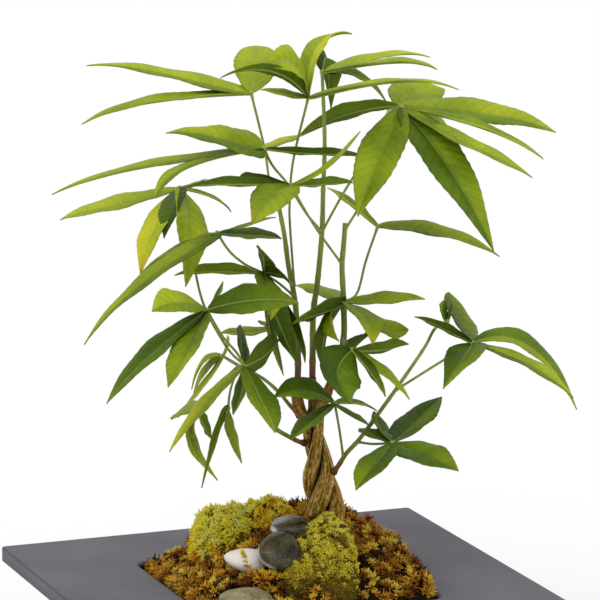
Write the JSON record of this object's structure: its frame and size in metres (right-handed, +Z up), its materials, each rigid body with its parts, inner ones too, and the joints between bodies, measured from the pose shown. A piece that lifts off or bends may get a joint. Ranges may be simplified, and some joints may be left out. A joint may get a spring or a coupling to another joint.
{
  "type": "potted money tree",
  "caption": "Money tree with twisted trunks and palm-like leaves, in a square pot with a wide flat rim, with moss and pebbles on its soil.",
  "frame": {"origin": "centre of the pot's flat base", "axes": "+Z up; X and Y along the sides of the square pot, with -Y towards the side that faces the front, a little turned from the viewer"},
  "size_m": [0.3463, 0.3, 0.462],
  "materials": {
    "pot": "matt slate grey",
    "soil": "loose dark soil",
    "moss": "matt, rusty brown",
    "moss_yellow": "matt, yellow",
    "moss_green": "matt, olive green",
    "stone_dark": "smooth, slightly wet",
    "stone_white": "smooth",
    "stone_brown": "smooth",
    "bark": "rough bark",
    "leaf": "satin leaf"
  },
  "bodies": {
    "root": {"pot": "pot", "soil": "soil", "moss_mound": "moss", "moss_clump_yellow": "moss_yellow", "moss_cushion_green": "moss_green", "stone_dark_back": "stone_dark", "stone_dark_front": "stone_dark", "stone_white": "stone_white", "stone_brown": "stone_brown", "trunk_strand_left": "bark", "trunk_strand_middle": "bark", "trunk_strand_right": "bark", "shoot_left": "leaf", "shoot_middle": "leaf", "shoot_right": "leaf", "shoot_branch": "leaf", "shoot_low": "leaf", "shoot_sprig": "leaf"}
  },
  "joints": []
}
